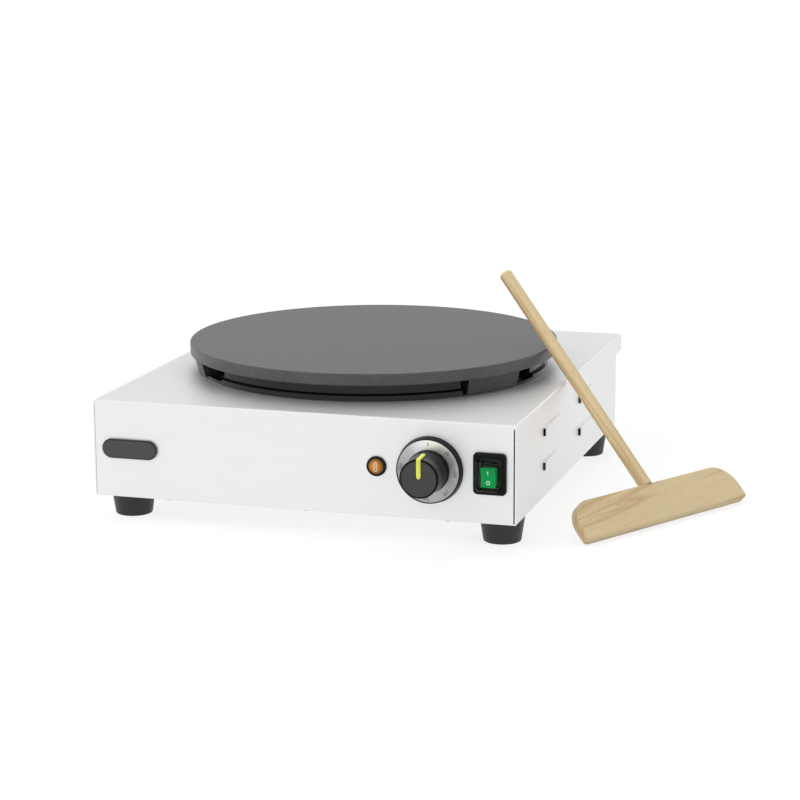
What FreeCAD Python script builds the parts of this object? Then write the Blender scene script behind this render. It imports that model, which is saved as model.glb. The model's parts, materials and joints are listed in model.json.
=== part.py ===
import FreeCAD, Part
import math
import os

# Electric crepe maker, all sizes in millimetres, +Z up.
# It is drawn with the floor at z = 0, the housing centred on x = 0, y = 0 and the
# controls facing -Y. At the end everything is shifted so that the origin is in the
# middle of the whole footprint.

V = FreeCAD.Vector
X_AXIS = V(1, 0, 0)
Y_AXIS = V(0, 1, 0)
Z_AXIS = V(0, 0, 1)
FRONT = V(0, -1, 0)
DOWN = V(0, 0, -1)

# housing
width = 392.0
depth = 408.0
body_height = 87.0
foot_height = 25.0
sheet = 1.2
bend_radius = 2.0
lip_depth = 26.0
lip_height = 17.0
seam_gaps = {-1: 0.35, 1: 1.2}
fold = 14.0
fit = 0.3
side_x = width / 2
front_y = -depth / 2
back_y = depth / 2
floor_z = foot_height
deck_z = floor_z + body_height
lip_z = deck_z - lip_height
screw_inset = 8.5
hole_radius = 2.0

# cooking plate and the pan under it
plate_radius = 175.0
plate_y = 12.8
plate_rise = 27.0
rim_height = 11.0
plate_top = deck_z + plate_rise
plate_under = plate_top - rim_height
pan_sheet = 1.5
pan_radius = 163.0
pan_floor = deck_z + pan_sheet
base_ring_radius = 166.5
base_ring_height = 6.5
lug_angles = (-152.0, -32.0, 88.0)
lug_span = 21.0
stud_circle = 96.0
stud_angles = (28.0, 148.0, 268.0)
stud_radius = 3.0
wool_height = 4.0
element_tube = 4.0
element_z = plate_under - element_tube - 0.1
element_circles = (126.0, 60.0)
element_gap = 14.0
element_bend = 9.0
element_leg = 30.0
bulb_circle = 80.0
bulb_angle = -62.0
bulb_radius = 3.0
bulb_length = 70.0

# controls, all on one line at mid height of the front
control_z = floor_z + body_height / 2
dial_x = 119.3
dial_radius = 29.8
dial_front_radius = 28.5
dial_depth = 7.5
dial_wall = 0.8
dial_screw_offset = 14.0
knob_gap = 2.0
knob_base_radius = 18.7
knob_face_radius = 17.3
knob_wall = 1.6
knob_reach = 35.5
pointer_width = 3.8
pointer_proud = 0.5
lamp_x = 70.9
lamp_radius = 8.9
lamp_barrel = 5.9
switch_x = 172.9
switch_width = 29.4
switch_height = 37.0
switch_plate = 3.0
hood_width = 21.5
hood_height = 27.5
hood_depth = 9.0
hood_skin = 0.8
rocker_width = 13.0
rocker_height = 17.6
rocker_rest = 8.0
rocker_drop = 1.2
badge_x = -161.0
badge_width = 52.5
badge_height = 17.5
badge_depth = 3.0

# louvres, two rows of two in each side
louvre_length = 70.0
louvre_height = 8.6
louvre_proud = 2.8
louvre_skin = 0.8
louvre_fronts = (-105.0, 36.0)
louvre_offset = 15.7

# feet
foot_x = 174.5
foot_y = 167.6
foot_top_radius = 20.3
foot_bottom_radius = 16.7

# rear inlet
gland_x = 140.0
gland_z = floor_z + 30.0
gland_bore = 4.6
stud_post_x = 172.0

# wooden spreader that leans on the plate
blade_length = 215.0
blade_height = 38.0
blade_thickness = 10.0
blade_shoulder = 24.0
blade_toe = 4.0
handle_radius = 6.2
handle_length = 250.0
handle_tenon = 22.0
spreader_yaw = 60.0
spreader_tilt = 46.0
spreader_neck = (280.9, -62.0)


# helpers

def box(x0, x1, y0, y1, z0, z1):
    return Part.makeBox(x1 - x0, y1 - y0, z1 - z0, V(x0, y0, z0))


def upright(radius, x, y, z0, z1):
    return Part.makeCylinder(radius, z1 - z0, V(x, y, z0), Z_AXIS)


def level(radius, x, z, y0, y1):
    """Cylinder along Y from y0 to y1."""
    return Part.makeCylinder(radius, y1 - y0, V(x, y0, z), Y_AXIS)


def positive(solid):
    if solid.Volume < 0:
        solid.reverse()
    return solid


def turned(profile, x, y, start=0.0, span=360.0):
    """Solid turned about a vertical axis from (radius, z) points."""
    a = math.radians(start)
    points = [V(x + r * math.cos(a), y + r * math.sin(a), z) for r, z in profile]
    face = Part.Face(Part.makePolygon(points + [points[0]]))
    return positive(face.revolve(V(x, y, 0), Z_AXIS, span))


def turned_level(profile, x, z):
    """Solid turned about an axis along Y from (radius, y) points."""
    points = [V(x + r, y, z) for r, y in profile]
    face = Part.Face(Part.makePolygon(points + [points[0]]))
    return positive(face.revolve(V(x, 0, z), Y_AXIS, 360))


def rounded_plate(x, z, w, h, corner, y0, y1):
    """Plate facing -Y with rounded corners, from y0 to y1."""
    plate = box(x - w / 2, x + w / 2, y0, y1, z - h / 2, z + h / 2)
    corners = [e for e in plate.Edges if e.BoundBox.YLength > y1 - y0 - 0.01]
    return plate.makeFillet(corner, corners)


def front_edges(shape, y):
    return [e for e in shape.Edges if e.BoundBox.YMax < y + 0.01]


def group(solids):
    return Part.makeCompound(solids)


def mirrored(shape):
    return shape.mirror(V(0, 0, 0), X_AXIS)


def plate_point(radius, angle, z):
    a = math.radians(angle)
    return V(radius * math.cos(a), plate_y + radius * math.sin(a), z)


def hexagon(corner_radius, centre, direction, height):
    points = [V(corner_radius * math.cos(math.radians(60 * i)), corner_radius * math.sin(math.radians(60 * i)), 0)
              for i in range(7)]
    prism = Part.Face(Part.makePolygon(points)).extrude(V(0, 0, height))
    prism.Placement = FreeCAD.Placement(centre, FreeCAD.Rotation(Z_AXIS, direction))
    return prism


def nut(centre, direction, bore, corner_radius, height):
    """Hexagon nut whose face at the centre point looks along the direction."""
    hole = Part.makeCylinder(bore, height, centre, direction)
    return hexagon(corner_radius, centre, direction, height).cut(hole)


def pan_head(centre, direction, head_radius=3.4, head=2.2, shank_radius=1.9, shank=6.0):
    """Screw with a domed cross-slotted head; the shank goes in against the direction."""
    head_solid = Part.makeCylinder(head_radius, head, V(0, 0, 0), Z_AXIS)
    top = [e for e in head_solid.Edges if e.BoundBox.ZMin > head - 0.01]
    screw = head_solid.makeFillet(head * 0.45, top)
    screw = screw.fuse(Part.makeCylinder(shank_radius, shank, V(0, 0, 0), DOWN))
    for angle in (0, 90):
        slot = box(-head_radius * 0.6, head_radius * 0.6, -0.45, 0.45, head * 0.5, head + 1)
        slot.rotate(V(0, 0, 0), Z_AXIS, angle)
        screw = screw.cut(slot)
    screw.Placement = FreeCAD.Placement(centre, FreeCAD.Rotation(Z_AXIS, direction))
    return screw


def tube_along(points, radius, bend):
    """Round tube along straight runs joined by tangent arcs."""
    edges = []
    last = points[0]
    for i in range(1, len(points) - 1):
        before = (points[i] - points[i - 1]).normalize()
        after = (points[i + 1] - points[i]).normalize()
        turn = before.getAngle(after)
        back = bend * math.tan(turn / 2)
        start = points[i] - before * back
        end = points[i] + after * back
        inward = (after - before).normalize()
        centre = points[i] + inward * (bend / math.cos(turn / 2))
        edges.append(Part.LineSegment(last, start).toShape())
        edges.append(Part.Arc(start, centre - inward * bend, end).toShape())
        last = end
    edges.append(Part.LineSegment(last, points[-1]).toShape())
    direction = (points[1] - points[0]).normalize()
    ring = Part.Wire(Part.Circle(points[0], direction, radius).toShape())
    return positive(Part.Wire(edges).makePipeShell([ring], True, False))


# housing

def louvre_wedge(front, z, proud, length, height, depth_inside):
    """Wedge on the right side that is open towards the controls."""
    x0 = side_x - depth_inside
    points = [V(x0, front, z - height / 2), V(side_x + proud, front, z - height / 2),
              V(side_x, front + length, z - height / 2), V(x0, front + length, z - height / 2)]
    return Part.Face(Part.makePolygon(points + [points[0]])).extrude(V(0, 0, height))


def add_louvres(cover):
    for front in louvre_fronts:
        for row in (-1, 1):
            z = control_z + row * louvre_offset
            hood = louvre_wedge(front, z, louvre_proud, louvre_length, louvre_height, sheet)
            hollow = louvre_wedge(front - 1, z, louvre_proud - louvre_skin, louvre_length - 8,
                                  louvre_height - 2 * louvre_skin, sheet + 1)
            cover = cover.fuse(hood).cut(hollow)
            cover = cover.fuse(mirrored(hood)).cut(mirrored(hollow))
    return cover


def stud_points():
    return [plate_point(stud_circle, a, plate_under) for a in stud_angles]


def element_leg_points():
    points = []
    for radius in element_circles:
        for side in (-1, 1):
            end = plate_point(radius, side * element_gap, 0)
            a = math.radians(side * element_gap)
            out = V(math.sin(a), -math.cos(a), 0) * side
            points.append(end + out * element_bend)
    return points


def bulb_ends():
    middle = plate_point(bulb_circle, bulb_angle, plate_under - bulb_radius - 0.1)
    a = math.radians(bulb_angle)
    along = V(-math.sin(a), math.cos(a), 0)
    return middle + along * (bulb_length / 2), middle - along * (bulb_length / 2)


def capillary_drop():
    """Point where the thin tube of the bulb turns down through pan and deck."""
    start, end = bulb_ends()
    outward = (start - end).normalize()
    return start + outward * 14


def deck_cutters(z0, z1, stud_clearance):
    cutters = [upright(stud_clearance, p.x, p.y, z0, z1) for p in stud_points()]
    cutters += [upright(6.0, p.x, p.y, z0, z1) for p in element_leg_points()]
    cutters.append(upright(stud_clearance, 0, plate_y, z0, z1))
    drop = capillary_drop()
    cutters.append(upright(2.5, drop.x, drop.y, z0, z1))
    return cutters


def control_cutters():
    y0 = front_y - 1
    y1 = front_y + sheet + 1
    cutters = [level(5.2, dial_x, control_z, y0, y1), level(lamp_barrel + 0.1, lamp_x, control_z, y0, y1)]
    cutters += [level(hole_radius, dial_x + s * dial_screw_offset, control_z, y0, y1) for s in (-1, 1)]
    cutters.append(box(switch_x - 11.1, switch_x + 11.1, y0, y1, control_z - 15.1, control_z + 15.1))
    return cutters


def base_screw_places():
    """Screws in the folds along the bottom; three show under the front edge."""
    front_row = [(x, front_y + screw_inset) for x in (-128.0, 2.8, 133.0)]
    sides = [(s * (side_x - screw_inset), y) for s in (-1, 1) for y in (-95.0, 95.0)]
    return front_row + sides


def rear_screw_places():
    return [(s * (side_x - screw_inset), z) for s in (-1, 1) for z in (floor_z + 14, lip_z - 10)]


def foot_places():
    return [(sx * foot_x, sy * foot_y) for sx in (-1, 1) for sy in (-1, 1)]


def housing_cover():
    """Deck, front, sides and rear lip folded from one sheet, open at the corners."""
    body = box(-side_x, side_x, front_y, back_y, floor_z, deck_z)
    lip = box(-side_x, side_x, back_y - 1, back_y + lip_depth, lip_z, deck_z)
    outer = body.fuse(lip).removeSplitter()
    bends = [e for e in outer.Edges if e.BoundBox.ZMin > deck_z - 0.01]
    outer = outer.makeFillet(bend_radius, bends)
    inner = box(-side_x + sheet, side_x - sheet, front_y + sheet, back_y + 1, floor_z - 1, deck_z - sheet)
    inner_lip = box(-side_x + sheet, side_x - sheet, back_y - 1, back_y + lip_depth - sheet,
                    lip_z - 1, deck_z - sheet)
    cover = outer.cut(inner).cut(inner_lip)
    for side in (-1, 1):
        wall = side * (side_x - sheet)
        slit = sorted((wall, wall - side * seam_gaps[side]))
        cover = cover.cut(box(slit[0], slit[1], front_y - 1, front_y + sheet + 1, floor_z - 1, deck_z - 3.5))
        inner_edge = sorted((wall, wall - side * fold))
        cover = cover.fuse(box(inner_edge[0], inner_edge[1], front_y + 24, back_y - 24, floor_z, floor_z + sheet))
        cover = cover.fuse(box(inner_edge[0], inner_edge[1], back_y - 2 * sheet, back_y - sheet, floor_z + 5, lip_z))
    front_fold = box(-side_x + 24, side_x - 24, front_y + sheet, front_y + sheet + fold, floor_z, floor_z + sheet)
    cover = add_louvres(cover.fuse(front_fold))
    cutters = control_cutters() + deck_cutters(deck_z - 3, deck_z + 1, 3.4)
    cutters += [upright(hole_radius, x, y, floor_z - 1, floor_z + 3) for x, y in base_screw_places()]
    cutters += [level(hole_radius, x, z, back_y - 4, back_y + 1) for x, z in rear_screw_places()]
    for cutter in cutters:
        cover = cover.cut(cutter)
    return cover


def base_plate():
    """Bottom sheet on the folds of the cover, with two rows of vent slots."""
    top = floor_z
    plate = box(-side_x + 0.5, side_x - 0.5, front_y + 0.5, back_y - 0.5, top - sheet, top)
    for row in (-66.0, 90.0):
        for step in range(9):
            x = -96.0 + 24.0 * step
            plate = plate.cut(box(x - 2.5, x + 2.5, row - 22, row + 22, top - 3, top + 1))
    for x, y in base_screw_places() + foot_places():
        plate = plate.cut(upright(hole_radius + 0.5, x, y, top - 3, top + 1))
    return plate


def base_screws():
    return group([pan_head(V(x, y, floor_z - sheet), DOWN) for x, y in base_screw_places()])


def rear_panel():
    """Sheet that closes the back, with vent slots hidden behind the lip."""
    edge = side_x - sheet - fit
    panel = box(-edge, edge, back_y - sheet, back_y, floor_z, deck_z - sheet - fit)
    for step in range(11):
        x = -150.0 + 30.0 * step
        panel = panel.cut(box(x - 10, x + 10, back_y - 3, back_y + 1, lip_z + 4, lip_z + 9))
    for x, z in rear_screw_places():
        panel = panel.cut(level(hole_radius + 0.2, x, z, back_y - 3, back_y + 1))
    panel = panel.cut(level(8.2, gland_x, gland_z, back_y - 3, back_y + 1))
    return panel.cut(level(3.1, stud_post_x, gland_z - 8, back_y - 3, back_y + 1))


def rear_screws():
    return group([pan_head(V(x, back_y, z), Y_AXIS) for x, z in rear_screw_places()])


# feet

def foot(x, y):
    """Rubber cone with a recess for its screw."""
    top = floor_z - sheet
    cone = Part.makeCone(foot_bottom_radius, foot_top_radius, top, V(x, y, 0), Z_AXIS)
    sole = [e for e in cone.Edges if e.BoundBox.ZMax < 0.01]
    cone = cone.makeFillet(1.5, sole)
    cone = cone.cut(upright(7.0, x, y, -1, 14))
    return cone.cut(upright(hole_radius + 0.5, x, y, 0, top + 1))


def foot_screws():
    screws = [pan_head(V(x, y, 14), DOWN, head_radius=5.0, head=3.0, shank_radius=2.4, shank=16.0)
              for x, y in foot_places()]
    return group(screws)


def foot_nuts():
    return group([nut(V(x, y, floor_z), Z_AXIS, 2.4, 5.0, 4.0) for x, y in foot_places()])


# cooking plate

def griddle_plate():
    """Cast disc with a rounded rim, a hub for the clamp and three short feet."""
    outline = [(0, plate_under), (0, plate_top), (plate_radius, plate_top), (plate_radius, plate_under + 0.8),
               (plate_radius - 0.8, plate_under)]
    plate = turned(outline, 0, plate_y)
    top_rim = [e for e in plate.Edges if e.BoundBox.ZMin > plate_top - 0.01 and e.Length > plate_radius]
    plate = plate.makeFillet(1.4, top_rim)
    lug = [(156, plate_under - 0.1), (156, pan_floor), (168, pan_floor), (172, plate_under - 0.1),
           (172, plate_under + 1), (156, plate_under + 1)]
    for angle in lug_angles:
        plate = plate.fuse(turned(lug, 0, plate_y, angle - lug_span / 2, lug_span))
    return plate.removeSplitter()


def plate_studs():
    """Threaded studs cast into the plate; they reach through the deck."""
    studs = [upright(stud_radius, p.x, p.y, deck_z - 15, plate_under) for p in stud_points()]
    studs.append(upright(stud_radius, 0, plate_y, deck_z - 15, plate_under))
    return group(studs)


def stud_nuts():
    top = deck_z - sheet
    places = stud_points() + [V(0, plate_y, 0)]
    return group([nut(V(p.x, p.y, top - 5), Z_AXIS, stud_radius, 5.8, 5.0) for p in places])


def element_pan():
    """Enamelled dish on the deck: base ring, upper wall with windows, flat floor."""
    wall_top = plate_under - 1.6
    ring_top = deck_z + base_ring_height
    outline = [(0, deck_z), (0, pan_floor), (pan_radius - 8, pan_floor), (pan_radius - 8, ring_top - 2),
               (pan_radius - pan_sheet, ring_top), (pan_radius - pan_sheet, wall_top),
               (pan_radius, wall_top), (pan_radius, ring_top), (base_ring_radius, ring_top - 1.5),
               (base_ring_radius, deck_z)]
    pan = turned(outline, 0, plate_y)
    for angle in lug_angles:
        pocket = [(154.5, pan_floor), (154.5, plate_under + 1), (base_ring_radius + 3, plate_under + 1),
                  (base_ring_radius + 3, pan_floor)]
        pan = pan.cut(turned(pocket, 0, plate_y, angle - lug_span / 2 - 1.2, lug_span + 2.4))
        low = [(158, deck_z + 3), (158, plate_under), (168, plate_under), (168, deck_z + 3)]
        pan = pan.cut(turned(low, 0, plate_y, angle + lug_span / 2, 11.5))
    for cutter in deck_cutters(deck_z - 1, pan_floor + 1, 3.4):
        pan = pan.cut(cutter)
    return pan


def insulation_disc():
    outline = [(0, pan_floor), (0, pan_floor + wool_height), (150, pan_floor + wool_height), (150, pan_floor)]
    disc = turned(outline, 0, plate_y)
    for cutter in deck_cutters(pan_floor - 1, pan_floor + wool_height + 1, 3.6):
        disc = disc.cut(cutter)
    return disc


def heating_element(radius):
    """Tubular heater: an open ring whose two ends turn down through the deck."""
    gap = element_gap
    start = plate_point(radius, gap, element_z)
    middle = plate_point(radius, 180, element_z)
    end = plate_point(radius, -gap, element_z)
    edges = []
    for point, side in ((start, 1), (end, -1)):
        a = math.radians(side * gap)
        out = V(math.sin(a), -math.cos(a), 0) * side
        corner = point + out * element_bend
        low = corner + V(0, 0, -element_bend)
        knee = point + out * (element_bend * math.sin(math.pi / 4)) \
            + V(0, 0, -element_bend * (1 - math.cos(math.pi / 4)))
        foot_end = low + V(0, 0, -element_leg)
        edges.append((Part.LineSegment(foot_end, low).toShape(), Part.Arc(low, knee, point).toShape(), foot_end))
    ring = Part.Arc(start, middle, end).toShape()
    path = Part.Wire(Part.__sortEdges__([edges[0][0], edges[0][1], ring, edges[1][1], edges[1][0]]))
    section = Part.Wire(Part.Circle(edges[0][2], Z_AXIS, element_tube).toShape())
    return positive(path.makePipeShell([section], True, False))


def element_clamp():
    """Three-armed strap that holds both heaters against the plate."""
    top = element_z - element_tube - 0.1
    strap = upright(14, 0, plate_y, top - 1.2, top)
    for angle in stud_angles:
        arm = box(0, 140, -6, 6, top - 1.2, top)
        arm.rotate(V(0, 0, 0), Z_AXIS, angle)
        arm.translate(V(0, plate_y, 0))
        strap = strap.fuse(arm)
    holes = [upright(stud_radius + 0.3, p.x, p.y, top - 5, top + 5) for p in stud_points()]
    holes.append(upright(stud_radius + 0.3, 0, plate_y, top - 5, top + 5))
    for hole in holes:
        strap = strap.cut(hole)
    return strap.removeSplitter()


def sensing_bulb():
    start, end = bulb_ends()
    return Part.makeCylinder(bulb_radius, bulb_length, start, (end - start).normalize())


def bulb_clip():
    """Small cradle that keeps the bulb on the underside of the plate."""
    start, end = bulb_ends()
    middle = (start + end) * 0.5
    along = (end - start).normalize()
    outer = Part.makeBox(12, 2 * bulb_radius + 4, bulb_radius + 2, V(-6, -bulb_radius - 2, -bulb_radius - 1.5))
    turn = FreeCAD.Rotation(X_AXIS, along)
    outer.Placement = FreeCAD.Placement(middle, turn)
    return outer.cut(Part.makeCylinder(bulb_radius, bulb_length, start, along))


# thermostat, dial and knob

def dial_bezel():
    """Black round tray of the dial, open to the front."""
    front = front_y - dial_depth
    tray = turned_level([(0, front), (dial_front_radius, front), (dial_radius, front_y), (0, front_y)],
                        dial_x, control_z)
    tray = tray.makeFillet(0.5, [e for e in front_edges(tray, front) if e.Length > 10])
    tray = tray.cut(level(dial_front_radius - dial_wall, dial_x, control_z, front - 1, front_y - 3))
    tray = tray.cut(level(6, dial_x, control_z, front_y - 4, front_y + 1))
    for side in (-1, 1):
        tray = tray.cut(level(hole_radius, dial_x + side * dial_screw_offset, control_z, front_y - 4, front_y + 1))
    return tray


def dial_face():
    """Satin metal scale ring inside the tray."""
    face = level(dial_front_radius - dial_wall - 0.05, dial_x, control_z, front_y - dial_depth + 0.6, front_y - 5.5)
    return face.cut(level(7, dial_x, control_z, front_y - dial_depth, front_y - 5))


def control_knob():
    """Cone-shaped knob with a bore for the thermostat shaft."""
    back = front_y - dial_depth - knob_gap + 0.6
    face = front_y - knob_reach
    knob = turned_level([(0, face), (knob_face_radius, face), (knob_base_radius, back), (0, back)], dial_x, control_z)
    knob = knob.makeFillet(1.2, front_edges(knob, face))
    mouth = knob_base_radius - knob_wall
    knob = knob.cut(turned_level([(9, back - 14), (mouth - 0.7, back - 12), (mouth, back + 1), (9, back + 1)],
                                 dial_x, control_z))
    return knob.cut(thermostat_shaft_blank(3.02, 1.52))


def thermostat_shaft_blank(radius, flat):
    """Shaft with a flat, in front of and through the panel."""
    shaft = level(radius, dial_x, control_z, front_y - 27, front_y + 8)
    side = box(dial_x - 5, dial_x + 5, front_y - 28, front_y - 9, control_z + flat, control_z + 5)
    return shaft.cut(side)


def thermostat_shaft():
    return thermostat_shaft_blank(3.0, 1.5)


def knob_pointer():
    """Raised line over the face of the knob and down its side."""
    face = front_y - knob_reach
    slope = (knob_base_radius - knob_face_radius) / (knob_reach - dial_depth - knob_gap + 0.6)
    reach = 17.0
    proud = pointer_proud
    r0 = knob_face_radius
    points = [V(dial_x, face - proud, 0), V(dial_x, face - proud, r0 + proud),
              V(dial_x, face + reach, r0 + slope * reach + proud), V(dial_x, face + reach, r0 + slope * reach - 0.6),
              V(dial_x, face + 0.9, r0 - 0.9), V(dial_x, face + 0.9, 0)]
    points = [p + V(0, 0, control_z) for p in points]
    bar = Part.Face(Part.makePolygon(points + [points[0]])).extrude(V(pointer_width, 0, 0))
    bar.translate(V(-pointer_width / 2, 0, 0))
    bar = bar.cut(control_knob())
    solids = sorted(positive(bar).Solids, key=lambda s: -s.Volume)
    return solids[0]


def thermostat_body():
    """Capillary thermostat behind the panel, with its terminals."""
    y0 = front_y + sheet
    plate = box(dial_x - 20, dial_x + 20, y0, y0 + 1.5, control_z - 11, control_z + 11)
    case = box(dial_x - 17, dial_x + 17, y0 + 1.5, y0 + 30, control_z - 19, control_z + 19)
    body = plate.fuse(case)
    body = body.cut(level(3.05, dial_x, control_z, y0 - 1, front_y + 8.2))
    for side in (-1, 1):
        body = body.cut(level(1.95, dial_x + side * dial_screw_offset, control_z, y0 - 1, y0 + 7))
        for row in (-9, 3):
            x = dial_x + side * 9
            body = body.fuse(box(x - 3, x + 3, y0 + 29, y0 + 38, control_z + row - 0.4, control_z + row + 0.4))
    return body.removeSplitter()


def thermostat_screws():
    y = front_y - 3
    return group([pan_head(V(dial_x + s * dial_screw_offset, y, control_z), FRONT, shank=9.5, head=2.0)
                  for s in (-1, 1)])


def capillary_tube():
    """Thin tube from the sensing bulb down through the deck to the thermostat."""
    start, end = bulb_ends()
    drop = capillary_drop()
    out = (start - end).normalize()
    run_z = deck_z - 6
    body_x = dial_x - 8
    body_y = front_y + sheet + 22
    points = [start + out * 0.05, V(drop.x, drop.y, start.z), V(drop.x, drop.y, run_z),
              V(body_x, body_y, run_z), V(body_x, body_y, control_z + 19)]
    return tube_along(points, 1.0, 4.0)


# lamp, switch and badge

def lamp_bezel():
    ring = level(lamp_radius, lamp_x, control_z, front_y - 2.2, front_y)
    ring = ring.makeFillet(0.9, front_edges(ring, front_y - 2.2))
    barrel = level(lamp_barrel, lamp_x, control_z, front_y, front_y + 14)
    ring = ring.fuse(barrel)
    ring = ring.cut(level(lamp_radius - 1.8, lamp_x, control_z, front_y - 3, front_y - 1.0))
    return ring.cut(level(lamp_barrel - 1.2, lamp_x, control_z, front_y - 3, front_y + 15))


def lamp_lens():
    """Domed coloured lens seated in the bezel."""
    r = lamp_radius - 1.85
    rise = 2.2
    base = front_y - 1.0
    dome = (r * r + rise * rise) / (2 * rise)
    ball = Part.makeSphere(dome, V(lamp_x, base - 1.0 - rise + dome, control_z))
    cap = ball.common(level(r, lamp_x, control_z, base - 1.0 - rise - 1, base - 0.99))
    return cap.fuse(level(r, lamp_x, control_z, base - 1.0, base)).removeSplitter()


def lamp_body():
    bulb = level(lamp_barrel - 1.3, lamp_x, control_z, front_y + 1, front_y + 20)
    for side in (-1, 1):
        x = lamp_x + side * 2.5
        bulb = bulb.fuse(box(x - 0.4, x + 0.4, front_y + 19, front_y + 27, control_z - 1.4, control_z + 1.4))
    return bulb


def lamp_nut():
    return nut(V(lamp_x, front_y + sheet, control_z), Y_AXIS, lamp_barrel + 0.02, 9.5, 3.0)


def switch_frame():
    """Black frame of the splash-proof switch, stepped around the clear hood."""
    y = front_y - switch_plate
    frame = rounded_plate(switch_x, control_z, switch_width, switch_height, 4.0, y, front_y)
    frame = frame.makeFillet(1.2, front_edges(frame, y))
    collar = rounded_plate(switch_x, control_z, hood_width + 2, hood_height + 2, 3.0, y - 1.5, y + 0.5)
    frame = frame.fuse(collar)
    return frame.cut(rounded_plate(switch_x, control_z, hood_width, hood_height, 2.0, y - 3, front_y + 1))


def switch_hood():
    """Clear soft hood over the rocker."""
    y0 = front_y - switch_plate - hood_depth
    outer = rounded_plate(switch_x, control_z, hood_width - 0.1, hood_height - 0.1, 3.0, y0, front_y)
    outer = outer.makeFillet(2.0, front_edges(outer, y0))
    inner = rounded_plate(switch_x, control_z, hood_width - 2 * hood_skin, hood_height - 2 * hood_skin, 2.4,
                          y0 + hood_skin, front_y + 1)
    return outer.cut(inner)


def rocker_pivot():
    return V(switch_x, front_y - 1.0, control_z - rocker_drop)


def switch_rocker():
    """Rocker with a shallow V face, drawn at rest with its lower half pressed."""
    half = rocker_height / 2
    top = front_y - 8.2
    low = front_y - 6.4
    base = front_y - 0.6
    points = [(top, -half), (low, 0), (top, half), (base, half - 1.5), (base, -half + 1.5)]
    points = [V(0, y, z + control_z - rocker_drop) for y, z in points]
    rocker = Part.Face(Part.makePolygon(points + [points[0]])).extrude(V(rocker_width, 0, 0))
    rocker.translate(V(switch_x - rocker_width / 2, 0, 0))
    rocker.rotate(rocker_pivot(), X_AXIS, rocker_rest)
    return positive(rocker)


def switch_body():
    """Case of the switch, clipped in the panel; it carries the rocker."""
    y0 = front_y + 0.02
    case = box(switch_x - 10.9, switch_x + 10.9, y0, front_y + 26, control_z - 14.9, control_z + 14.9)
    well = box(switch_x - 8.2, switch_x + 8.2, y0 - 1, front_y + 6, control_z - 12.0, control_z + 11.0)
    return case.cut(well)


def switch_terminals():
    tabs = []
    for dx in (-6, 6):
        for dz in (-8, 0, 8):
            x = switch_x + dx
            z = control_z + dz
            tabs.append(box(x - 0.4, x + 0.4, front_y + 26, front_y + 34, z - 2.4, z + 2.4))
    return group(tabs)


def nameplate():
    """Bare badge with rounded ends and a bevelled rim."""
    y = front_y - badge_depth
    badge = rounded_plate(badge_x, control_z, badge_width, badge_height, badge_height / 2 - 0.01, y, front_y)
    return badge.makeChamfer(0.8, front_edges(badge, y))


# electrical pieces inside and the rear inlet

def cable_gland():
    """Strain relief without its cord; the bore is free."""
    body = hexagon(12.0, V(gland_x, back_y, gland_z), Y_AXIS, 5.0)
    body = body.fuse(level(8.0, gland_x, gland_z, back_y - 10, back_y + 8))
    return body.cut(level(gland_bore, gland_x, gland_z, back_y - 11, back_y + 20))


def gland_cap():
    """Domed clamping nut of the gland."""
    y = back_y + 5.05
    cap = turned_level([(8.05, y), (11.0, y), (11.0, y + 8), (7.5, y + 15), (gland_bore, y + 15),
                        (gland_bore, y + 4), (8.05, y + 4)], gland_x, gland_z)
    for step in range(6):
        a = math.radians(60 * step + 30)
        notch = level(1.2, gland_x + 11.6 * math.cos(a), gland_z + 11.6 * math.sin(a), y - 1, y + 8.5)
        cap = cap.cut(notch)
    return cap


def gland_nut():
    return nut(V(gland_x, back_y - sheet, gland_z), V(0, -1, 0), 8.0, 12.0, 4.0)


def bonding_stud():
    """Threaded stud on the back for an equipotential bonding wire."""
    return level(3.0, stud_post_x, gland_z - 8, back_y - 8, back_y + 14)


def bonding_nuts():
    z = gland_z - 8
    inner = nut(V(stud_post_x, back_y - sheet, z), V(0, -1, 0), 3.0, 5.8, 4.5)
    outer = nut(V(stud_post_x, back_y, z), Y_AXIS, 3.0, 5.8, 4.5)
    return group([inner, outer])


def terminal_block():
    """Three-way ceramic block on the base."""
    x = gland_x - 22
    block = box(x, x + 30, back_y - 70, back_y - 50, floor_z + 0.05, floor_z + 18)
    for step in range(3):
        cx = x + 6 + 9 * step
        block = block.cut(upright(2.2, cx, back_y - 60, floor_z + 12, floor_z + 20))
        block = block.cut(level(2.6, cx, floor_z + 8, back_y - 71, back_y - 49))
    return block


def safety_cutout():
    """Manual-reset overheat cut-out held under the deck."""
    centre = V(-70, -40, deck_z - sheet)
    flange_plate = box(centre.x - 16, centre.x + 16, centre.y - 6, centre.y + 6, centre.z - 1, centre.z)
    case = upright(8.5, centre.x, centre.y, centre.z - 14, centre.z)
    body = case.fuse(flange_plate)
    for side in (-1, 1):
        x = centre.x + side * 4
        body = body.fuse(box(x - 0.4, x + 0.4, centre.y - 3, centre.y + 3, centre.z - 22, centre.z - 13))
    return body


def heat_baffle():
    """Angle of sheet that shades the controls from the hot deck."""
    y = front_y + 46
    x1 = side_x - sheet - 16
    wall = box(44, x1, y, y + 1, floor_z + 0.02, deck_z - sheet - 8)
    foot_strip = box(44, x1, y, y + 14, floor_z + 0.02, floor_z + 1.02)
    notch = box(switch_x - 12, x1 + 1, y - 1, y + 2, floor_z + 4, control_z)
    return wall.fuse(foot_strip).removeSplitter().cut(notch)


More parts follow.
